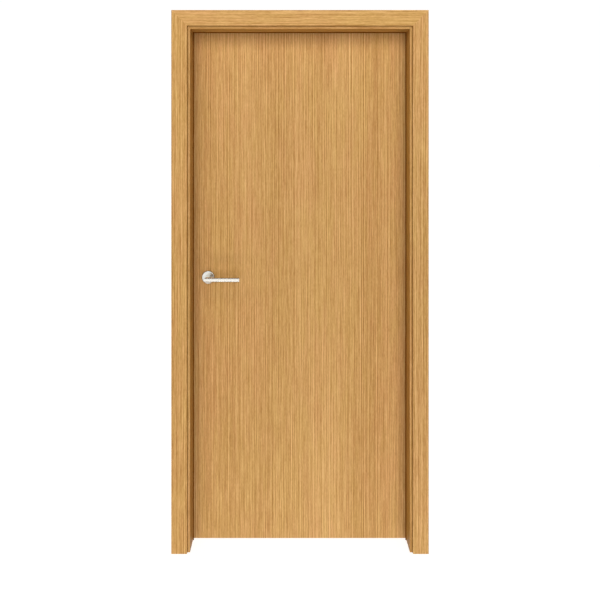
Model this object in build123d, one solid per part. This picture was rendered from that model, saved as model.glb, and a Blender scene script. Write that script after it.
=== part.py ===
from build123d import *
import os

# Flush door set: a veneered flush leaf hung in a three-sided timber lining,
# with flat mitred casings on both wall faces. The leaf sits at the back of a
# deep plain reveal and opens away from the side first seen.
#
# Frame: X to the right as seen from the reveal side, Y from the reveal side to
# the hinge side through the wall, Z up. The origin is on the wall face of the
# hinge jamb, at floor level, half way through the lining's depth. Millimetres.

# ---------------------------------------------------------------- dimensions
clear_w = 840.0  # clear opening between the stops
clear_h = 2000.0  # floor to the underside of the head stop
lining_t = 25.0  # lining board thickness
lining_d = 115.0  # lining depth, the same as the wall
stop_t = 15.0  # stop thickness, so the width of the rebate
stop_d = 70.0  # stop depth, from the front edge of the lining
leaf_t = 40.0
leaf_gap = 5.0  # all round the leaf, and under it
leaf_lap = 10.0  # the leaf laps this far behind the stops
leaf_off = 5.0  # from the stops to the leaf, room for the seal
edge_bevel = 2.0  # the lock edge leans back this much over the leaf's thickness
panel_t = 4.0  # veneered face panels
stile_w = 45.0
lock_stile_w = 100.0
rail_h = 80.0
casing_w = 60.0
casing_t = 9.0
casing_reveal = 10.0  # lining edge left showing beside the casing
casing_r = 1.2  # softened arrises
seal_t = 4.0
seal_out = 3.5  # stands into the opening past the stop
seal_in = 4.0  # lies on the stop's back edge

lever_x = 70.0  # lever axis from the lock edge
lever_z = 1035.0  # lever axis above the floor
lever_r = 9.5
lever_off = 50.0  # lever's centre line from the leaf's face
lever_len = 127.0  # from the lever's axis to its tip
rose_r = 25.0
rose_t = 9.0
rose_edge = 2.5
neck_in = 4.0  # neck's length inside the rose
run_gap = 0.06  # radial running clearance
spindle = 8.0  # square
spindle_in = 24.0  # into each neck

hinge_h = 100.0
hinge_w = 30.0  # flap width on the leaf and on the lining
flap_t = 2.5
knuckle_r = 6.0
pin_r = 3.0
knuckles = 5
knuckle_gap = 0.3
hinge_zs = {"lower": 235.0, "middle": 1035.0, "upper": 1830.0}

fix_r = 3.25  # fixing-screw holes through the jambs
fix_head_r = 6.5
fix_head_d = 4.0
fix_zs = (150.0, 650.0, 1150.0, 1650.0)

# ------------------------------------------------------------- derived planes
y_front = -lining_d / 2
y_back = lining_d / 2
y_stop = y_front + stop_d  # back edge of the stops
y_leaf = y_back - leaf_t  # front face of the leaf
x_wall_r = 0.0
x_reb_r = -lining_t  # rebate face of the hinge jamb
x_stop_r = x_reb_r - stop_t
x_stop_l = x_stop_r - clear_w
x_reb_l = x_stop_l - stop_t
x_wall_l = x_reb_l - lining_t
z_reb = clear_h + stop_t
z_top = z_reb + lining_t
x_leaf_r = x_reb_r - leaf_gap
x_leaf_l = x_reb_l + leaf_gap
z_leaf_0 = leaf_gap
z_leaf_1 = z_reb - leaf_gap
x_hinge = (x_reb_r + x_leaf_r) / 2  # hinge axis, in the middle of the gap
y_hinge = y_back + 7.0
x_lever = x_leaf_l + lever_x
y_mid = (y_leaf + y_back) / 2


# -------------------------------------------------------------------- helpers
def box(x0, x1, y0, y1, z0, z1):
    return Pos((x0 + x1) / 2, (y0 + y1) / 2, (z0 + z1) / 2) * Box(
        x1 - x0, y1 - y0, z1 - z0
    )


def prism(points, by):
    """A polygon of 3D points pushed along a vector."""
    face = Face(Wire.make_polygon([Vector(*p) for p in points], close=True))
    return Solid.extrude(face, Vector(*by))


def upright(points_xz, y0, y1):
    """A board seen from the front as a polygon, from y0 to y1."""
    return prism([(x, y0, z) for x, z in points_xz], (0, y1 - y0, 0))


def plan(points_xy, z0, z1):
    """A piece seen from above as a polygon, from z0 to z1."""
    return prism([(x, y, z0) for x, y in points_xy], (0, 0, z1 - z0))


def rod_y(x, z, r, y0, y1):
    return Pos(x, (y0 + y1) / 2, z) * Rot(90, 0, 0) * Cylinder(r, y1 - y0)


def rod_x(y, z, r, x0, x1):
    return Pos((x0 + x1) / 2, y, z) * Rot(0, 90, 0) * Cylinder(r, x1 - x0)


def rod_z(x, y, r, z0, z1):
    return Pos(x, y, (z0 + z1) / 2) * Cylinder(r, z1 - z0)


def long_edges(part, along, y):
    return [
        e
        for e in part.edges().filter_by(along)
        if abs(e.center().Y - y) < 0.01 and e.length > 500
    ]


def lock_edge(y):
    """X of the leaf's lock edge at depth y."""
    return x_leaf_l + edge_bevel * (y_back - y) / leaf_t


parts = {}

# ---------------------------------------------------------------- lining
hinge_jamb = box(x_reb_r, x_wall_r, y_front, y_back, 0, z_reb)
latch_jamb = box(x_wall_l, x_reb_l, y_front, y_back, 0, z_reb)
head_jamb = box(x_wall_l, x_wall_r, y_front, y_back, z_reb, z_top)

y_fix = (y_stop + y_back) / 2
for z in fix_zs:
    hinge_jamb -= rod_x(y_fix, z, fix_r, x_reb_r - 1, x_wall_r + 1)
    hinge_jamb -= rod_x(y_fix, z, fix_head_r, x_reb_r - 1, x_reb_r + fix_head_d)
    latch_jamb -= rod_x(y_fix, z, fix_r, x_wall_l - 1, x_reb_l + 1)
    latch_jamb -= rod_x(y_fix, z, fix_head_r, x_reb_l - fix_head_d, x_reb_l + 1)

# ---------------------------------------------------------------- stops, mitred
hinge_stop = upright(
    [(x_reb_r, 0), (x_stop_r, 0), (x_stop_r, clear_h), (x_reb_r, z_reb)],
    y_front,
    y_stop,
)
latch_stop = upright(
    [(x_reb_l, 0), (x_stop_l, 0), (x_stop_l, clear_h), (x_reb_l, z_reb)],
    y_front,
    y_stop,
)
head_stop = upright(
    [(x_reb_l, z_reb), (x_stop_l, clear_h), (x_stop_r, clear_h), (x_reb_r, z_reb)],
    y_front,
    y_stop,
)
for name, part, along, at in (
    ("hinge_stop", hinge_stop, Axis.Z, ("X", x_stop_r)),
    ("latch_stop", latch_stop, Axis.Z, ("X", x_stop_l)),
    ("head_stop", head_stop, Axis.X, ("Z", clear_h)),
):
    arris = [
        e
        for e in long_edges(part, along, y_front)
        if abs(getattr(e.center(), at[0]) - at[1]) < 0.01
    ]
    parts[name] = part.fillet(0.8, arris)


# ---------------------------------------------------------------- casings
def casing_set(prefix, xi_l, xi_r, zi, y0, y1, y_show):
    xo_l, xo_r, zo = xi_l - casing_w, xi_r + casing_w, zi + casing_w
    left = upright([(xo_l, 0), (xi_l, 0), (xi_l, zi), (xo_l, zo)], y0, y1)
    right = upright([(xi_r, 0), (xo_r, 0), (xo_r, zo), (xi_r, zi)], y0, y1)
    head = upright([(xi_l, zi), (xi_r, zi), (xo_r, zo), (xo_l, zo)], y0, y1)
    for side, part, along in (
        ("left", left, Axis.Z),
        ("right", right, Axis.Z),
        ("head", head, Axis.X),
    ):
        parts[f"{prefix}_casing_{side}"] = part.fillet(
            casing_r, long_edges(part, along, y_show)
        )


casing_set(
    "front",
    x_stop_l - casing_reveal,
    x_stop_r + casing_reveal,
    clear_h + casing_reveal,
    y_front - casing_t,
    y_front,
    y_front - casing_t,
)
casing_set(
    "back",
    x_reb_l - casing_reveal,
    x_reb_r + casing_reveal,
    z_reb + casing_reveal,
    y_back,
    y_back + casing_t,
    y_back + casing_t,
)

# ---------------------------------------------------------------- seals
y_seal = y_stop + seal_t
z_seal_0, z_seal_1 = clear_h - seal_out, clear_h + seal_in


def soften(part, along, at):
    """Rounds the seal's long back edge that stands in the opening."""
    edges = [
        e
        for e in long_edges(part, along, y_seal)
        if abs(getattr(e.center(), at[0]) - at[1]) < 0.01
    ]
    return part.fillet(1.5, edges)


seal_left = box(x_stop_l - seal_in, x_stop_l + seal_out, y_stop, y_seal, 0, z_seal_1)
seal_right = box(x_stop_r - seal_out, x_stop_r + seal_in, y_stop, y_seal, 0, z_seal_1)
seal_head = box(
    x_stop_l + seal_out, x_stop_r - seal_out, y_stop, y_seal, z_seal_0, z_seal_1
)
parts["seal_left"] = soften(seal_left, Axis.Z, ("X", x_stop_l + seal_out))
parts["seal_right"] = soften(seal_right, Axis.Z, ("X", x_stop_r - seal_out))
parts["seal_head"] = soften(seal_head, Axis.X, ("Z", z_seal_0))

# ---------------------------------------------------------------- strike plate
strike_t = 2.0
strike_y = (23.0, y_back)
strike_z = (lever_z - 32.0, lever_z + 32.0)
strike_hole_y = (y_mid - 8.0, y_mid + 8.0)
strike_hole_z = (lever_z - 11.0, lever_z + 11.0)
strike_plate = box(x_reb_l - strike_t, x_reb_l, *strike_y, *strike_z)
latch_jamb -= box(x_reb_l - strike_t, x_reb_l + 1, *strike_y, *strike_z)
strike_plate -= box(
    x_reb_l - strike_t - 1, x_reb_l + 1, *strike_hole_y, *strike_hole_z
)
latch_jamb -= box(
    x_reb_l - strike_t - 11, x_reb_l - 1, *strike_hole_y, *strike_hole_z
)
parts["strike_plate"] = strike_plate

# ---------------------------------------------------------------- leaf
yi0, yi1 = y_leaf + panel_t, y_back - panel_t  # between the face panels
front_face_panel = plan(
    [
        (lock_edge(y_leaf), y_leaf),
        (x_leaf_r, y_leaf),
        (x_leaf_r, yi0),
        (lock_edge(yi0), yi0),
    ],
    z_leaf_0,
    z_leaf_1,
)
back_face_panel = plan(
    [
        (lock_edge(yi1), yi1),
        (x_leaf_r, yi1),
        (x_leaf_r, y_back),
        (lock_edge(y_back), y_back),
    ],
    z_leaf_0,
    z_leaf_1,
)
x_lock = x_leaf_l + lock_stile_w
x_hang = x_leaf_r - stile_w
lock_stile = plan(
    [(lock_edge(yi0), yi0), (x_lock, yi0), (x_lock, yi1), (lock_edge(yi1), yi1)],
    z_leaf_0,
    z_leaf_1,
)
hinge_stile = box(x_hang, x_leaf_r, yi0, yi1, z_leaf_0, z_leaf_1)
parts["top_rail"] = box(x_lock, x_hang, yi0, yi1, z_leaf_1 - rail_h, z_leaf_1)
parts["bottom_rail"] = box(x_lock, x_hang, yi0, yi1, z_leaf_0, z_leaf_0 + rail_h)
parts["leaf_core"] = box(
    x_lock, x_hang, yi0, yi1, z_leaf_0 + rail_h, z_leaf_1 - rail_h
)

# ------------------------------------------------------------ latch in the edge
plate_t = 2.5
plate_y = (y_mid - 12.5, y_mid + 12.5)
plate_z = (lever_z - 28.5, lever_z + 28.5)
bolt_y = (y_mid - 6.0, y_mid + 6.0)
bolt_z = (lever_z - 8.0, lever_z + 8.0)
case_y = (y_mid - 9.5, y_mid + 9.5)
case_z = (lever_z - 11.0, lever_z + 11.0)
case_x1 = x_lever + 20.0


def edge_slab(y0, y1, z0, z1, depth_0, depth_1):
    """A slab under the bevelled lock edge, from depth_0 to depth_1 below it."""
    return plan(
        [
            (lock_edge(y0) + depth_0, y0),
            (lock_edge(y1) + depth_0, y1),
            (lock_edge(y1) + depth_1, y1),
            (lock_edge(y0) + depth_1, y0),
        ],
        z0,
        z1,
    )


latch_faceplate = edge_slab(*plate_y, *plate_z, 0, plate_t)
lock_stile -= edge_slab(*plate_y, *plate_z, -1, plate_t)
latch_faceplate -= edge_slab(*bolt_y, *bolt_z, -1, plate_t + 1)
x_case_0 = lock_edge(case_y[0]) + plate_t
latch_case = plan(
    [
        (lock_edge(case_y[0]) + plate_t, case_y[0]),
        (lock_edge(case_y[1]) + plate_t, case_y[1]),
        (case_x1, case_y[1]),
        (case_x1, case_y[0]),
    ],
    *case_z,
)
lock_stile -= plan(
    [
        (lock_edge(case_y[0]) + plate_t - 0.5, case_y[0]),
        (lock_edge(case_y[1]) + plate_t - 0.5, case_y[1]),
        (case_x1, case_y[1]),
        (case_x1, case_y[0]),
    ],
    *case_z,
)
# the spring bolt, drawn back, stands 0.3 inside the faceplate's outer face
gap = 0.2
latch_case -= edge_slab(*bolt_y, *bolt_z, plate_t - 1, 30.0)
parts["latch_bolt"] = edge_slab(
    bolt_y[0] + gap, bolt_y[1] - gap, bolt_z[0] + gap, bolt_z[1] - gap, 0.3, 30.0
)
latch_case -= rod_y(x_lever, lever_z, 7.0, case_y[0] - 1, case_y[1] + 1)
lock_stile -= rod_y(x_lever, lever_z, 8.0, y_leaf - 1, y_back + 1)
front_face_panel -= rod_y(x_lever, lever_z, 8.0, y_leaf - 1, yi0 + 1)
back_face_panel -= rod_y(x_lever, lever_z, 8.0, yi1 - 1, y_back + 1)
parts["latch_faceplate"] = latch_faceplate
parts["latch_case"] = latch_case


# ---------------------------------------------------------------- lever handles
def rose(y_face, out):
    """Round rose on a leaf face; out is the way it stands, -1 or 1."""
    y1 = y_face + out * rose_t
    lo, hi = min(y_face, y1), max(y_face, y1)
    disc = rod_y(x_lever, lever_z, rose_r, lo, hi)
    rim = [
        e
        for e in disc.edges().filter_by(GeomType.CIRCLE)
        if abs(e.center().Y - y1) < 0.01
    ]
    disc = disc.fillet(rose_edge, rim)
    y_step = y1 - out * (neck_in + 0.5)
    a, b = min(y_step, y1 + out), max(y_step, y1 + out)
    disc -= rod_y(x_lever, lever_z, lever_r + run_gap, a, b)
    disc -= rod_y(x_lever, lever_z, 8.0, lo - 1, hi + 1)
    return disc


def lever(y_face, out):
    """Round-bar lever: a neck out of the rose and the grip, mitred together."""
    y_neck = y_face + out * (rose_t - neck_in)
    y_grip = y_face + out * lever_off
    y_tip = y_grip + out * (lever_r + 1)
    neck = rod_y(x_lever, lever_z, lever_r, min(y_neck, y_tip), max(y_neck, y_tip))
    grip = rod_x(
        y_grip, lever_z, lever_r, x_lever - lever_r - 1, x_lever + lever_len
    )
    end = [
        e
        for e in grip.edges().filter_by(GeomType.CIRCLE)
        if abs(e.center().X - (x_lever + lever_len)) < 0.01
    ]
    grip = grip.fillet(1.2, end)
    # the mitre runs from the outer corner of the bend to the inner one
    outer = (x_lever - 20, y_grip + out * 20)
    inner = (x_lever + 20, y_grip - out * 20)
    zs = (lever_z - 20, lever_z + 20)
    y_far = y_neck - out * 5
    neck &= plan([outer, inner, (inner[0], y_far), (outer[0], y_far)], *zs)
    x_far = x_lever + lever_len + 5
    grip &= plan([outer, inner, (x_far, inner[1]), (x_far, outer[1])], *zs)
    body = Part() + [neck, grip]
    socket_y = (y_neck, y_neck + out * spindle_in)
    body -= box(
        x_lever - spindle / 2,
        x_lever + spindle / 2,
        min(socket_y) - (1 if out > 0 else 0),
        max(socket_y) + (1 if out < 0 else 0),
        lever_z - spindle / 2,
        lever_z + spindle / 2,
    )
    return body, socket_y[1]


parts["front_rose"] = rose(y_leaf, -1)
parts["back_rose"] = rose(y_back, 1)
parts["front_lever"], y_s0 = lever(y_leaf, -1)
parts["back_lever"], y_s1 = lever(y_back, 1)
parts["lever_spindle"] = box(
    x_lever - spindle / 2,
    x_lever + spindle / 2,
    y_s0,
    y_s1,
    lever_z - spindle / 2,
    lever_z + spindle / 2,
)

# ---------------------------------------------------------------- butt hinges
step = (hinge_h + knuckle_gap) / knuckles
for level, z_mid in hinge_zs.items():
    z0 = z_mid - hinge_h / 2
    z1 = z_mid + hinge_h / 2
    y0 = y_back - hinge_w
    frame_plate = box(x_reb_r, x_reb_r + flap_t, y0, y_back, z0, z1)
    leaf_plate = box(x_leaf_r - flap_t, x_leaf_r, y0, y_back, z0, z1)
    hinge_jamb -= box(x_reb_r - 1, x_reb_r + flap_t, y0, y_back + 1, z0, z1)
    for_leaf = box(x_leaf_r - flap_t, x_leaf_r + 1, y0, y_back + 1, z0, z1)
    hinge_stile -= for_leaf
    back_face_panel -= for_leaf
    for i in range(knuckles):
        k0 = z0 + i * step
        k1 = k0 + step - knuckle_gap
        barrel = rod_z(x_hinge, y_hinge, knuckle_r, k0, k1)
        if i % 2 == 0:
            frame_plate += box(x_reb_r, x_reb_r + flap_t, y_back, y_hinge, k0, k1)
            frame_plate += barrel
        else:
            leaf_plate += box(x_leaf_r - flap_t, x_leaf_r, y_back, y_hinge, k0, k1)
            leaf_plate += barrel
    bore = rod_z(x_hinge, y_hinge, pin_r + run_gap, z0 - 1, z1 + 1)
    parts[f"{level}_hinge_frame_flap"] = frame_plate - bore
    parts[f"{level}_hinge_leaf_flap"] = leaf_plate - bore
    pin = rod_z(x_hinge, y_hinge, pin_r, z0, z1)
    cap = rod_z(x_hinge, y_hinge, knuckle_r, z1, z1 + 3.0)
    rim = [
        e
        for e in cap.edges().filter_by(GeomType.CIRCLE)
        if abs(e.center().Z - (z1 + 3.0)) < 0.01
    ]
    parts[f"{level}_hinge_pin"] = pin + cap.fillet(1.5, rim)

parts["hinge_jamb"] = hinge_jamb
parts["latch_jamb"] = latch_jamb
parts["head_jamb"] = head_jamb
parts["front_face_panel"] = front_face_panel
parts["back_face_panel"] = back_face_panel
parts["lock_stile"] = lock_stile
parts["hinge_stile"] = hinge_stile

# ---------------------------------------------------------------- write them out
os.makedirs("parts", exist_ok=True)
for name, part in sorted(parts.items()):
    solids = part.solids()
    out = solids[0] if len(solids) == 1 else Compound(children=list(solids))
    out.label = name
    export_step(out, f"parts/{name}.step")
    print(name, len(solids), round(sum(s.volume for s in solids) / 1000, 1), "cm3")
print(len(parts), "nodes")
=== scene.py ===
import math

import bmesh
import bpy
from mathutils import Matrix, Vector


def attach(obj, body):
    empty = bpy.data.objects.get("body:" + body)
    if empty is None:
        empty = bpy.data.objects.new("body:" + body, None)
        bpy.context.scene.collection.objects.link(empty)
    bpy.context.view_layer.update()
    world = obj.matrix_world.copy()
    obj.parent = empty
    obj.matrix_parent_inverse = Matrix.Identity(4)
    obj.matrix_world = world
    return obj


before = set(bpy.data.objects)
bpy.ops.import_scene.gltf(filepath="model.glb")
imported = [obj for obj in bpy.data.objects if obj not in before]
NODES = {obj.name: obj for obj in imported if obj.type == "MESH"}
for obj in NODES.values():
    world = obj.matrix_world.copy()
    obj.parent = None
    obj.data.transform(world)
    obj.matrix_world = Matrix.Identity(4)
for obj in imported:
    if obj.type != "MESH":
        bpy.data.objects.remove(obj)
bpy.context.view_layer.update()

MM = 0.001

# ------------------------------------------------------------------ the camera
# Level, at eye height, a little left of the door's middle, with the view slid
# down and right, so that the verticals stay parallel.
F_PX = 600.0  # focal length in pixels of a 600 x 600 picture
SCALE = 3.8195 * MM  # metres a pixel at the jambs' front edge
PP = (289.0, 140.0)  # the pixel that the camera points at
FRONT_Y = -57.5 * MM

cam_data = bpy.data.cameras.new("camera")
cam = bpy.data.objects.new("camera", cam_data)
bpy.context.scene.collection.objects.link(cam)
cam_data.sensor_fit = "AUTO"
cam_data.sensor_width = 36.0
cam_data.lens = 36.0 * F_PX / 600.0
cam_data.shift_x = (300.0 - PP[0]) / 600.0
cam_data.shift_y = -(300.0 - PP[1]) / 600.0
cam.location = (
    -0.880 + (PP[0] - 190.0) * SCALE,
    FRONT_Y - F_PX * SCALE,
    (552.4 - PP[1]) * SCALE,
)
cam.rotation_euler = (math.radians(90.0), 0.0, 0.0)
cam_data.clip_start = 0.05
cam_data.clip_end = 100.0
bpy.context.scene.camera = cam


# ------------------------------------------------------------------ node helpers
def srgb(r, g, b):
    """An 8-bit display colour as the linear colour that a shader takes."""

    def lin(c):
        c = min(255.0, max(0.0, c)) / 255.0
        return c / 12.92 if c <= 0.04045 else ((c + 0.055) / 1.055) ** 2.4

    return (lin(r), lin(g), lin(b), 1.0)


class Tree:
    """A short way to write a node tree."""

    def __init__(self, name):
        self.mat = bpy.data.materials.new(name)
        self.mat.use_nodes = True
        self.nt = self.mat.node_tree
        self.nt.nodes.clear()
        self.out = self.nt.nodes.new("ShaderNodeOutputMaterial")
        self.bsdf = self.nt.nodes.new("ShaderNodeBsdfPrincipled")
        self.nt.links.new(self.bsdf.outputs["BSDF"], self.out.inputs["Surface"])

    def node(self, kind, **values):
        n = self.nt.nodes.new(kind)
        for key, value in values.items():
            setattr(n, key, value)
        return n

    def link(self, a, b):
        self.nt.links.new(a, b)

    def feed(self, socket, value):
        """Links a socket to a socket, or sets its number."""
        if isinstance(value, bpy.types.NodeSocket):
            self.nt.links.new(value, socket)
        else:
            socket.default_value = value

    def coords(self):
        return self.node("ShaderNodeTexCoord").outputs["Object"]

    def split(self, vector):
        n = self.node("ShaderNodeSeparateXYZ")
        self.link(vector, n.inputs[0])
        return n.outputs[0], n.outputs[1], n.outputs[2]

    def join(self, x, y, z):
        n = self.node("ShaderNodeCombineXYZ")
        for i, v in enumerate((x, y, z)):
            self.feed(n.inputs[i], v)
        return n.outputs[0]

    def math(self, op, a, b=0.0, c=None, clamp=False):
        n = self.node("ShaderNodeMath", operation=op, use_clamp=clamp)
        self.feed(n.inputs[0], a)
        self.feed(n.inputs[1], b)
        if c is not None:
            self.feed(n.inputs[2], c)
        return n.outputs[0]

    def noise(self, vector, scale=1.0, detail=2.0, rough=0.5):
        n = self.node("ShaderNodeTexNoise", noise_dimensions="3D")
        self.link(vector, n.inputs["Vector"])
        n.inputs["Scale"].default_value = scale
        n.inputs["Detail"].default_value = detail
        n.inputs["Roughness"].default_value = rough
        return n.outputs[0]

    def spread(self, value, lo, hi, to_lo=0.0, to_hi=1.0, smooth=False):
        n = self.node("ShaderNodeMapRange", clamp=True)
        if smooth:
            n.interpolation_type = "SMOOTHSTEP"
        self.feed(n.inputs[0], value)
        for i, v in enumerate((lo, hi, to_lo, to_hi)):
            n.inputs[i + 1].default_value = v
        return n.outputs[0]

    def ramp(self, value, stops):
        n = self.node("ShaderNodeValToRGB")
        el = n.color_ramp.elements
        while len(el) > 1:
            el.remove(el[-1])
        el[0].position, el[0].color = stops[0]
        for pos, colour in stops[1:]:
            e = el.new(pos)
            e.color = colour
        self.feed(n.inputs[0], value)
        return n.outputs[0]

    def mix(self, factor, a, b, mode="MIX"):
        n = self.node("ShaderNodeMix", data_type="RGBA", blend_type=mode)
        self.feed(n.inputs["Factor"], factor)
        self.feed(n.inputs[6], a)
        self.feed(n.inputs[7], b)
        return n.outputs[2]

    def bump(self, height, strength, distance):
        n = self.node("ShaderNodeBump")
        n.inputs["Strength"].default_value = strength
        n.inputs["Distance"].default_value = distance
        self.link(height, n.inputs["Height"])
        self.link(n.outputs[0], self.bsdf.inputs["Normal"])
        return n


# ------------------------------------------------------------------ veneer
BASE = (201.0, 152.0, 85.0)  # display colour of the lacquered oak
REVEAL_SHADE = (0.835, 0.80, 0.57, 1.0)  # painted shade: the stops' faces in the reveal are darkened and warmed, as if in shade
PORE = srgb(140, 92, 44)
RAW = srgb(186, 158, 118)
GRAIN = 11.0  # display levels that one standard deviation of the figure is worth

# The figure is made of streaks a few millimetres wide. Each row: streaks a metre
# across the grain, streaks a metre along it, the share of the variance, and how far
# across, in streaks, its own copy is taken off it, which leaves finer, crisper lines.
FIGURE = (
    (540.0, 90.0, 0.08, 0.0),
    (490.0, 26.0, 0.16, 0.0),
    (330.0, 9.0, 0.20, 0.0),
    (235.0, 3.0, 0.18, 0.75),
    (225.0, 0.95, 0.16, 0.75),
    (240.0, 0.10, 0.14, 0.75),
    (62.0, 0.8, 0.02, 0.0),
    (11.0, 0.4, 0.06, 0.0),
)


def veneer(name, grain, offset, raw=(), base=BASE, contrast=GRAIN, gloss=0.22, reveal_shade=None, corner_shade=None, shaded=()):
    """Lacquered light oak, quarter cut: fine straight streaks along grain ("X" or "Z").
    offset slides the figure, so that no two boards share it. raw holds rules (axis, value,
    sign) for the faces against the wall, which are bare board. reveal_shade is a painted shade,
    multiplied into what lies behind the lining's front edge, and corner_shade, (axis, value, sign),
    a painted shadow line where that edge and the casing meet. shaded holds the lines (axis, value, sign) along which a
    painted shade darkens the veneer."""
    t = Tree(name)
    x, y, z = t.split(t.coords())
    across, deep, along = (x, y, z) if grain == "Z" else (z, y, x)
    u = t.math("ADD", across, offset[0])
    v = t.math("ADD", deep, offset[1])
    w = t.math("ADD", along, offset[2])
    # the streaks wander a little along the board
    sway = t.noise(t.join(t.math("MULTIPLY", u, 4.0), v, t.math("MULTIPLY", w, 1.1)), 1.0, 1.0)
    u = t.math("MULTIPLY_ADD", t.math("SUBTRACT", sway, 0.5), 0.006, u)

    def streaks(freq_u, freq_w, shift, detail=0.0, aside=0.0):
        vec = t.join(
            t.math("MULTIPLY_ADD", u, freq_u, shift + aside),
            t.math("MULTIPLY_ADD", v, freq_u, shift * 0.37),
            t.math("MULTIPLY_ADD", w, freq_w, shift * 1.9),
        )
        return t.noise(vec, 1.0, detail, 0.5)

    # a single octave of noise has a standard deviation of about 0.12
    tone = 0.5
    layers = []
    for i, (freq_u, freq_w, share, crisp) in enumerate(FIGURE):
        layer = streaks(freq_u, freq_w, 7.3 * i + 1.7)
        layers.append(layer)
        k = math.sqrt(share) / 0.12 / 8.0
        if crisp:
            k *= 0.79
            beside = streaks(freq_u, freq_w, 7.3 * i + 1.7, aside=crisp)
            layer = t.math("ADD", t.math("SUBTRACT", layer, beside), 0.5)
        tone = t.math("MULTIPLY_ADD", t.math("SUBTRACT", layer, 0.5), k, tone)
    stops = []
    for sigma, gain in ((-4, 1.10), (-2.5, 1.06), (-1.2, 1.0), (0, 1.0), (1.2, 1.0), (2.5, 0.94), (4, 0.86)):
        s = sigma * gain * contrast
        stops.append((0.5 + sigma / 8.0, srgb(base[0] + 0.97 * s, base[1] + 1.0 * s, base[2] + 0.95 * s)))
    colour = t.ramp(tone, stops)
    # some stripes are more golden, some more pink
    hue = streaks(34.0, 5.0, 51.0, 1.0)
    hue = t.math("MULTIPLY_ADD", t.math("SUBTRACT", streaks(120.0, 14.0, 83.0), 0.5), 0.35, hue)
    hue = t.math("MULTIPLY_ADD", t.math("SUBTRACT", streaks(7.0, 1.6, 29.0), 0.5), 0.6, hue)
    golden = t.ramp(
        t.math("ADD", hue, 0.0, clamp=True),
        [(0.25, (1.008, 0.970, 1.012, 1.0)), (0.5, (1.0, 1.0, 1.0, 1.0)), (0.75, (0.994, 1.022, 0.968, 1.0))],
    )
    colour = t.mix(1.0, colour, golden, "MULTIPLY")
    # painted shade: behind the lining's front edge the stops' faces are darkened and warmed, standing in for the
    # reveal's shade
    if reveal_shade:
        behind = t.math("GREATER_THAN", y, -0.0566)
        colour = t.mix(behind, colour, t.mix(1.0, colour, reveal_shade, "MULTIPLY"))
    lines = {"X": x, "Y": y, "Z": z}
    # painted shadow line: a thin strip beside the line where the lining's front edge meets the casing is darkened,
    # standing in for the shade in that corner
    if corner_shade:
        axis, value, sign = corner_shade
        beside = t.math("GREATER_THAN" if sign > 0 else "LESS_THAN", lines[axis], value)
        edge = t.math("LESS_THAN", y, -0.0566) if reveal_shade else t.math("GREATER_THAN", y, -0.0648)
        beside = t.math("MULTIPLY", beside, edge)
        colour = t.mix(beside, colour, t.mix(1.0, colour, (0.55, 0.47, 0.28, 1.0), "MULTIPLY"))
    # painted shade: the veneer darkens within a few centimetres of the given lines, standing in for the reveal's shade
    # along the stops
    if shaded:
        near = 0.0
        for axis, value, sign in shaded:
            inside = t.math("MULTIPLY", t.math("SUBTRACT", lines[axis], value), sign)
            near = t.math("MAXIMUM", near, t.spread(inside, 0.006, 0.042, 1.0, 0.0, smooth=True))
        colour = t.mix(near, colour, t.mix(1.0, colour, (0.86, 0.86, 0.885, 1.0), "MULTIPLY"))
    # open pores: short dark dashes along the grain, in the darker early wood
    pores = streaks(1450.0, 34.0, 63.0, 1.0)
    pore_mask = t.math("MULTIPLY", t.spread(pores, 0.62, 0.70), t.spread(tone, 0.60, 0.42))
    colour = t.mix(t.math("MULTIPLY", pore_mask, 0.45), colour, PORE)
    rough = t.spread(tone, 0.3, 0.7, 0.58, 0.48)
    height = t.math("MULTIPLY_ADD", pore_mask, -1.0, t.math("MULTIPLY", layers[2], 0.5))
    if raw:
        mask = 0.0
        for axis, value, sign in raw:
            side = {"X": x, "Y": y, "Z": z}[axis]
            mask = t.math("MAXIMUM", mask, t.math("GREATER_THAN" if sign > 0 else "LESS_THAN", side, value))
        fibre = t.noise(t.join(t.math("MULTIPLY", x, 160.0), t.math("MULTIPLY", y, 160.0), t.math("MULTIPLY", z, 160.0)), 1.0, 4.0, 0.65)
        board = t.ramp(fibre, [(0.25, srgb(152, 124, 88)), (0.5, RAW), (0.8, srgb(206, 180, 140))])
        colour = t.mix(mask, colour, board)
        rough = t.math("MAXIMUM", rough, t.math("MULTIPLY", mask, 0.85))
    t.link(colour, t.bsdf.inputs["Base Color"])
    t.link(rough, t.bsdf.inputs["Roughness"])
    t.bsdf.inputs["Specular IOR Level"].default_value = gloss
    t.bump(height, 0.3, 0.00010)
    return t.mat


def board(name, colours, scale, rough=0.8):
    """Bare wood-based board inside the leaf."""
    t = Tree(name)
    x, y, z = t.split(t.coords())
    chips = t.noise(t.join(t.math("MULTIPLY", x, scale), t.math("MULTIPLY", y, scale), t.math("MULTIPLY", z, scale)), 1.0, 4.0, 0.7)
    t.link(t.ramp(chips, [(0.3, colours[0]), (0.5, colours[1]), (0.75, colours[2])]), t.bsdf.inputs["Base Color"])
    t.link(t.spread(chips, 0.3, 0.7, rough, rough - 0.1), t.bsdf.inputs["Roughness"])
    t.bump(chips, 0.4, 0.0003)
    return t.mat


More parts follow.
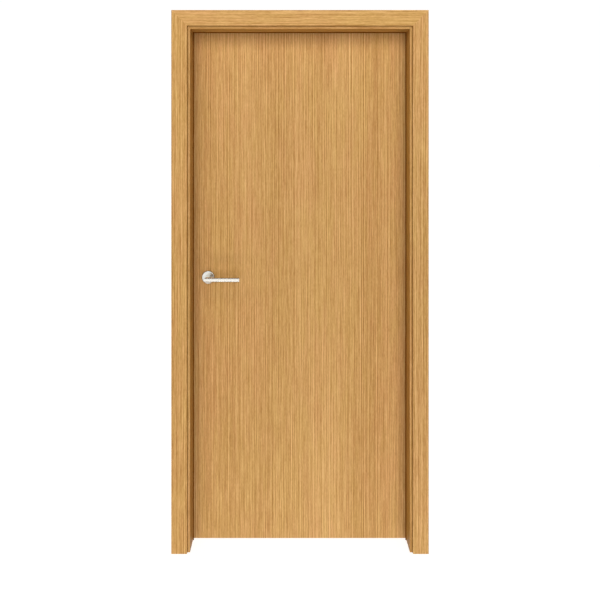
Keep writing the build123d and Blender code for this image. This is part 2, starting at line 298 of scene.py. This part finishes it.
# ------------------------------------------------------------------ metal, rubber
def steel(name, base, rough, along, freq=900.0, centre=None, brush=1.0):
    """Satin steel with fine brush lines along an axis, or round a centre (x, z) when given.
    brush is how much the lines show."""
    t = Tree(name)
    x, y, z = t.split(t.coords())
    if centre:
        dx = t.math("SUBTRACT", x, centre[0])
        dz = t.math("SUBTRACT", z, centre[1])
        radius = t.math("SQRT", t.math("ADD", t.math("MULTIPLY", dx, dx), t.math("MULTIPLY", dz, dz)))
        turn = t.math("ARCTAN2", dz, dx)
        vec = t.join(t.math("MULTIPLY", radius, freq), t.math("MULTIPLY", turn, 1.3), t.math("MULTIPLY", y, freq))
    else:
        f = {"X": (5.0, freq, freq), "Y": (freq, 14.0, freq), "Z": (freq, freq, 14.0)}[along]
        vec = t.join(*(t.math("MULTIPLY", c, k) for c, k in zip((x, y, z), f)))
    lines = t.noise(vec, 1.0, 3.0, 0.6)
    cloud = t.noise(t.join(t.math("MULTIPLY", x, 60.0), t.math("MULTIPLY", y, 60.0), t.math("MULTIPLY", z, 60.0)), 1.0, 2.0)
    tone = t.math("MULTIPLY_ADD", t.math("SUBTRACT", lines, 0.5), 0.8 * brush, t.math("MULTIPLY_ADD", cloud, brush, 0.5 - 0.5 * brush))
    lo = tuple(c * 0.90 for c in base[:3]) + (1.0,)
    hi = tuple(min(1.0, c * 1.06) for c in base[:3]) + (1.0,)
    t.link(t.ramp(tone, [(0.25, lo), (0.75, hi)]), t.bsdf.inputs["Base Color"])
    t.bsdf.inputs["Metallic"].default_value = 1.0
    t.link(t.spread(tone, 0.2, 0.8, rough + 0.05, rough - 0.04), t.bsdf.inputs["Roughness"])
    t.bump(lines, 0.2 * brush, 0.00003)
    return t.mat


def rubber_and_gap_shade(name):
    t = Tree(name)
    x, y, z = t.split(t.coords())
    skin = t.noise(t.join(t.math("MULTIPLY", x, 700.0), t.math("MULTIPLY", y, 700.0), t.math("MULTIPLY", z, 260.0)), 1.0, 3.0, 0.6)
    # partly painted shade: the seal is a real part, but its dark brown stands in for the shaded gap between stop and
    # leaf
    t.link(t.ramp(skin, [(0.3, srgb(109, 58, 0)), (0.7, srgb(130, 75, 0))]), t.bsdf.inputs["Base Color"])
    t.link(t.spread(skin, 0.3, 0.7, 0.78, 0.64), t.bsdf.inputs["Roughness"])
    t.bsdf.inputs["Specular IOR Level"].default_value = 0.04
    t.bump(skin, 0.3, 0.0001)
    return t.mat


LEVER_X, LEVER_Z = -0.820, 1.035
MATS = {
    "leaf_front": veneer("veneer_leaf_front", "Z", (9.59, 0.0, 0.0), base=(201.0, 152.0, 88.0), contrast=9.9, shaded=[("X", -0.880, 1), ("X", -0.040, -1), ("Z", 2.000, -1)]),
    "leaf_back": veneer("veneer_leaf_back", "Z", (3.7, 1.3, 5.1), base=(201.0, 152.0, 88.0), contrast=9.9),
    "lock_edge": veneer("veneer_lock_edge", "Z", (9.1, 2.2, 3.3)),
    "hinge_edge": veneer("veneer_hinge_edge", "Z", (7.9, 4.2, 1.3)),
    "rail": veneer("rail_edge", "X", (2.9, 0.7, 6.6)),
    "casing_l": veneer("veneer_casing_left", "Z", (7.38, 0.4, 2.2), corner_shade=("X", -0.8913, 1), raw=[("Y", -0.0577, 1)]),
    "casing_r": veneer("veneer_casing_right", "Z", (13.52, 0.9, 7.4), base=(200.0, 152.0, 87.0), corner_shade=("X", -0.0287, -1), raw=[("Y", -0.0577, 1)]),
    # painted light: the head casing's base is lighter than the side casings', standing in for the brighter light at
    # the door's head
    "casing_h": veneer("veneer_casing_head", "X", (9.67, 0.2, 4.9), base=(210.0, 161.0, 94.0), corner_shade=("Z", 2.0113, -1), raw=[("Y", -0.0577, 1)]),
    "casing_bl": veneer("veneer_back_casing_left", "Z", (6.1, 3.4, 9.2), raw=[("Y", 0.0577, -1)]),
    "casing_br": veneer("veneer_back_casing_right", "Z", (4.7, 2.9, 0.4), raw=[("Y", 0.0577, -1)]),
    "casing_bh": veneer("veneer_back_casing_head", "X", (0.6, 1.2, 8.9), raw=[("Y", 0.0577, -1)]),
    "jamb_r": veneer("veneer_hinge_jamb", "Z", (3.1, 6.4, 0.8), raw=[("X", -0.0003, 1)]),
    "jamb_l": veneer("veneer_latch_jamb", "Z", (2.3, 5.6, 4.1), raw=[("X", -0.9197, -1)]),
    "jamb_h": veneer("veneer_head_jamb", "X", (5.9, 7.1, 3.8), raw=[("Z", 2.0397, 1), ("X", -0.0003, 1), ("X", -0.9197, -1)]),
    "stop_r": veneer("veneer_hinge_stop", "Z", (9.7, 8.4, 5.8), base=(202.0, 155.0, 91.0), corner_shade=("X", -0.0315, 1), reveal_shade=REVEAL_SHADE, gloss=0.12),
    "stop_l": veneer("veneer_latch_stop", "Z", (18.39, 9.6, 6.1), base=(205.0, 158.0, 96.0), corner_shade=("X", -0.8885, -1), reveal_shade=REVEAL_SHADE, gloss=0.12),
    "stop_h": veneer("veneer_head_stop", "X", (12.06, 3.1, 2.7), base=(206.0, 157.0, 92.0), corner_shade=("Z", 2.0085, 1), reveal_shade=REVEAL_SHADE, gloss=0.12),
    "core": board("core_board", [srgb(140, 110, 72), srgb(168, 138, 96), srgb(196, 168, 124)], 260.0),
    "seal": rubber_and_gap_shade("seal_rubber_gap_shade"),
    "lever": steel("satin_steel_lever", srgb(224, 218, 208), 0.20, "X", brush=0.25),
    "rose": steel("satin_steel_rose", srgb(200, 198, 191), 0.22, None, 1400.0, (LEVER_X, LEVER_Z)),
    "hinge": steel("satin_steel_hinge", srgb(214, 212, 207), 0.34, "Z"),
    "latch": steel("satin_steel_latch", srgb(216, 214, 209), 0.32, "Z"),
    "screw": steel("bright_screw", srgb(220, 218, 214), 0.28, "Y"),
}

FINISH = {
    "front_face_panel": "leaf_front",
    "back_face_panel": "leaf_back",
    "lock_stile": "lock_edge",
    "hinge_stile": "hinge_edge",
    "top_rail": "rail",
    "bottom_rail": "rail",
    "leaf_core": "core",
    "front_casing_left": "casing_l",
    "front_casing_right": "casing_r",
    "front_casing_head": "casing_h",
    "back_casing_left": "casing_bl",
    "back_casing_right": "casing_br",
    "back_casing_head": "casing_bh",
    "hinge_jamb": "jamb_r",
    "latch_jamb": "jamb_l",
    "head_jamb": "jamb_h",
    "hinge_stop": "stop_r",
    "latch_stop": "stop_l",
    "head_stop": "stop_h",
    "seal_left": "seal",
    "seal_right": "seal",
    "seal_head": "seal",
    "front_lever": "lever",
    "back_lever": "lever",
    "lever_spindle": "lever",
    "front_rose": "rose",
    "back_rose": "rose",
    "strike_plate": "latch",
    "latch_faceplate": "latch",
    "latch_bolt": "latch",
    "latch_case": "latch",
}
for level in ("upper", "middle", "lower"):
    for part in ("frame_flap", "leaf_flap", "pin"):
        FINISH[f"{level}_hinge_{part}"] = "hinge"

for name, obj in NODES.items():
    obj.data.materials.clear()
    obj.data.materials.append(MATS[FINISH[name]])


# ------------------------------------------------------------------ screws
def ring(bm, radius, z, count):
    verts = [
        bm.verts.new((radius * math.cos(2 * math.pi * i / count), radius * math.sin(2 * math.pi * i / count), z))
        for i in range(count)
    ]
    return verts


def loop_edges(bm, verts):
    out = []
    for a, b in zip(verts, verts[1:] + verts[:1]):
        out.append(bm.edges.get((a, b)) or bm.edges.new((a, b)))
    return out


def skin(bm, low, high):
    n = len(low)
    for i in range(n):
        bm.faces.new((low[i], low[(i + 1) % n], high[(i + 1) % n], high[i]))


def cross_screw(bm, place, r, rise, turn):
    """A raised countersunk head with a cross recess. place takes the head's own
    frame (Z out of the surface) to the model's."""
    start = len(bm.verts)
    count = 40
    rims = [(1.0, -0.02), (1.0, 0.10), (0.965, 0.22), (0.85, 0.50), (0.70, 0.74), (0.60, 0.86)]
    loops = [ring(bm, r * a, rise * h, count) for a, h in rims]
    for low, high in zip(loops, loops[1:]):
        skin(bm, low, high)
    half, arm = 0.115 * r, 0.50 * r
    plus = [
        (arm, -half), (arm, half), (half, half), (half, arm), (-half, arm), (-half, half),
        (-arm, half), (-arm, -half), (-half, -half), (-half, -arm), (half, -arm), (half, -half),
    ]
    c, s = math.cos(turn), math.sin(turn)

    def level(points, k, z_of):
        return [bm.verts.new((k * (c * px - s * py), k * (s * px + c * py), z_of(px, py))) for px, py in points]

    mouth = level(plus, 1.0, lambda px, py: rise * (0.98 if abs(px) + abs(py) < 0.4 * r else 0.90))
    fill = bmesh.ops.triangle_fill(bm, use_beauty=True, edges=loop_edges(bm, loops[-1]) + loop_edges(bm, mouth))
    foot = level(plus, 0.74, lambda px, py: rise * 0.16)
    skin(bm, foot, mouth)
    bmesh.ops.triangle_fill(bm, use_beauty=True, edges=loop_edges(bm, foot))
    bm.verts.ensure_lookup_table()
    bmesh.ops.transform(bm, matrix=place, verts=bm.verts[start:])


def out_of(point, normal):
    """The frame at a point whose Z is the surface's normal."""
    z = Vector(normal).normalized()
    x = Vector((0, 0, 1)).cross(z) if abs(z.z) < 0.9 else Vector((1, 0, 0))
    x.normalize()
    y = z.cross(x)
    m = Matrix((x, y, z)).transposed().to_4x4()
    m.translation = Vector(point)
    return m


def piece(name, bm, material, body, sharp=30.0):
    bmesh.ops.remove_doubles(bm, verts=bm.verts, dist=1e-7)
    bmesh.ops.recalc_face_normals(bm, faces=bm.faces)
    me = bpy.data.meshes.new(name)
    bm.to_mesh(me)
    bm.free()
    for poly in me.polygons:
        poly.use_smooth = True
    me.set_sharp_from_angle(angle=math.radians(sharp))
    me.materials.append(MATS[material])
    o = bpy.data.objects.new(name, me)
    bpy.context.scene.collection.objects.link(o)
    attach(o, body)
    return o


HINGE_Z = {"lower": 0.235, "middle": 1.035, "upper": 1.830}
ROWS = ((-0.0375, 0.0370), (-0.0125, 0.0475), (0.0125, 0.0370), (0.0375, 0.0475))
for level, z_mid in HINGE_Z.items():
    for side, x_face, nx, body in (("frame", -0.025, -1.0, "frame"), ("leaf", -0.030, 1.0, "leaf")):
        bm = bmesh.new()
        for i, (dz, y_at) in enumerate(ROWS):
            turn = 0.5 + 1.1 * i + (0.4 if side == "leaf" else 0.0) + z_mid
            cross_screw(bm, out_of((x_face, y_at, z_mid + dz), (nx, 0, 0)), 0.0041, 0.0009, turn)
        piece(f"{level}_hinge_{side}_screws", bm, "screw", body)

bm = bmesh.new()
for i, dz in enumerate((-0.0215, 0.0215)):
    cross_screw(bm, out_of((-0.895, 0.0375, LEVER_Z + dz), (1, 0, 0)), 0.0036, 0.0008, 0.3 + 0.9 * i)
piece("strike_plate_screws", bm, "screw", "frame")

bm = bmesh.new()
for i, dz in enumerate((-0.0185, 0.0185)):
    cross_screw(bm, out_of((-0.889, 0.0375, LEVER_Z + dz), (-1, -0.05, 0)), 0.0034, 0.0007, 0.7 + 1.2 * i)
piece("latch_faceplate_screws", bm, "screw", "leaf")


# ------------------------------------------------------------------ the studio
def plane(name, size, centre):
    me = bpy.data.meshes.new(name)
    h = size / 2
    me.from_pydata(
        [(centre[0] + sx * h, centre[1] + sy * h, centre[2]) for sx, sy in ((-1, -1), (1, -1), (1, 1), (-1, 1))],
        [],
        [(0, 1, 2, 3)],
    )
    o = bpy.data.objects.new(name, me)
    bpy.context.scene.collection.objects.link(o)
    return o


# A white sweep lit from below as well as above: to the eye it glows a little and
# takes a faint shadow, and it lets the big lights' own light through.
floor = plane("studio_floor", 60.0, (-0.46, 0.0, -0.0005))
ft = Tree("pale_floor")
mottle = ft.noise(ft.coords(), 1.5, 3.0)
ft.link(ft.ramp(mottle, [(0.3, srgb(247, 247, 247)), (0.7, srgb(250, 250, 250))]), ft.bsdf.inputs["Base Color"])
ft.bsdf.inputs["Roughness"].default_value = 0.9
ft.bsdf.inputs["Specular IOR Level"].default_value = 0.1
glow = ft.node("ShaderNodeEmission")
glow.inputs["Color"].default_value = (1.0, 1.0, 1.0, 1.0)
glow.inputs["Strength"].default_value = 0.86
both = ft.node("ShaderNodeMixShader")
both.inputs[0].default_value = 0.5
ft.link(ft.bsdf.outputs[0], both.inputs[1])
add = ft.node("ShaderNodeAddShader")
half = ft.node("ShaderNodeMixShader")
clear = ft.node("ShaderNodeBsdfTransparent")
black = ft.node("ShaderNodeBsdfDiffuse")
black.inputs["Color"].default_value = (0.0, 0.0, 0.0, 1.0)
ft.link(black.outputs[0], both.inputs[2])
ft.link(both.outputs[0], add.inputs[0])
ft.link(glow.outputs[0], add.inputs[1])
path = ft.node("ShaderNodeLightPath")
ft.link(path.outputs["Is Camera Ray"], half.inputs[0])
ft.link(clear.outputs[0], half.inputs[1])
ft.link(add.outputs[0], half.inputs[2])
ft.link(half.outputs[0], ft.out.inputs["Surface"])
floor.data.materials.append(ft.mat)

# Two banks of soft light, one before each face of the door, on a white ground.
LOBE = 3.0
FRONT = 0.765 * (LOBE + 2.0) / 2.0
GLOSS = 1.45
world = bpy.data.worlds.new("studio")
world.cycles.sampling_method = "NONE"
bpy.context.scene.world = world
world.use_nodes = True
wt = world.node_tree
wt.nodes.clear()


def wnode(kind, **values):
    n = wt.nodes.new(kind)
    for key, value in values.items():
        setattr(n, key, value)
    return n


def wmath(op, a, b=0.0):
    n = wnode("ShaderNodeMath", operation=op)
    for i, v in enumerate((a, b)):
        if isinstance(v, bpy.types.NodeSocket):
            wt.links.new(v, n.inputs[i])
        else:
            n.inputs[i].default_value = v
    return n.outputs[0]


way = wnode("ShaderNodeTexCoord")
axes = wnode("ShaderNodeSeparateXYZ")
wt.links.new(way.outputs["Generated"], axes.inputs[0])
toward = wmath("MAXIMUM", wmath("MULTIPLY", axes.outputs[1], -1.0), 0.0)
front_bank = wmath("MULTIPLY", wmath("POWER", toward, LOBE), FRONT)
back_bank = wnode("ShaderNodeMapRange", interpolation_type="SMOOTHSTEP")
wt.links.new(axes.outputs[1], back_bank.inputs[0])
for i, v in enumerate((0.0, 0.55, 0.0, 1.15)):
    back_bank.inputs[i + 1].default_value = v
light = wmath("ADD", front_bank, back_bank.outputs[0])
lit = wnode("ShaderNodeBackground")
lit.inputs["Color"].default_value = (1.0, 1.0, 1.0, 1.0)
wt.links.new(light, lit.inputs["Strength"])


def wspread(value, lo, hi, to_lo, to_hi):
    n = wnode("ShaderNodeMapRange", interpolation_type="SMOOTHSTEP")
    wt.links.new(value, n.inputs[0])
    for i, v in enumerate((lo, hi, to_lo, to_hi)):
        n.inputs[i + 1].default_value = v
    return n.outputs[0]


# What the metal mirrors: a white sweep below and before it, a dim room overhead
# and grey flats at both sides.
overhead = wspread(axes.outputs[2], 0.46, 0.70, 1.0, 0.12)
underfoot = wspread(axes.outputs[2], -0.90, -0.25, 0.32, 1.0)
flats = wspread(wmath("ABSOLUTE", axes.outputs[0]), 0.45, 0.95, 1.0, 0.45)
mirrored = wmath("MULTIPLY", wmath("MULTIPLY", wmath("MULTIPLY", overhead, underfoot), flats), GLOSS)
shine = wnode("ShaderNodeBackground")
shine.inputs["Color"].default_value = (0.97, 0.99, 1.0, 1.0)
wt.links.new(mirrored, shine.inputs["Strength"])
ground = wnode("ShaderNodeBackground")
ground.inputs["Color"].default_value = (1.0, 1.0, 1.0, 1.0)
ground.inputs["Strength"].default_value = 1.02
seen = wnode("ShaderNodeLightPath")
polish = wnode("ShaderNodeMixShader")
wt.links.new(seen.outputs["Is Glossy Ray"], polish.inputs[0])
wt.links.new(lit.outputs[0], polish.inputs[1])
wt.links.new(shine.outputs[0], polish.inputs[2])
pick = wnode("ShaderNodeMixShader")
wt.links.new(seen.outputs["Is Camera Ray"], pick.inputs[0])
wt.links.new(polish.outputs[0], pick.inputs[1])
wt.links.new(ground.outputs[0], pick.inputs[2])
wo = wnode("ShaderNodeOutputWorld")
wt.links.new(pick.outputs[0], wo.inputs[0])


def soft_light(name, place, aim, size, watts):
    data = bpy.data.lights.new(name, "AREA")
    data.shape = "RECTANGLE"
    data.size, data.size_y = size
    data.energy = watts
    o = bpy.data.objects.new(name, data)
    o.location = place
    o.rotation_euler = (Vector(aim) - Vector(place)).to_track_quat("-Z", "Y").to_euler()
    o.visible_camera = False
    bpy.context.scene.collection.objects.link(o)
    return o


# One soft light over the head and one under the foot, as from a lit sweep.
soft_light("upper_light", (-0.46, -1.30, 2.90), (-0.46, -0.06, 1.90), (5.0, 0.5), 16.0)
soft_light("lower_light", (-0.46, -1.30, -0.90), (-0.46, -0.06, 0.10), (5.0, 0.5), 18.5)

scene = bpy.context.scene
scene.view_settings.view_transform = "Standard"
scene.view_settings.look = "None"
scene.view_settings.exposure = 0.0
scene.view_settings.gamma = 1.0
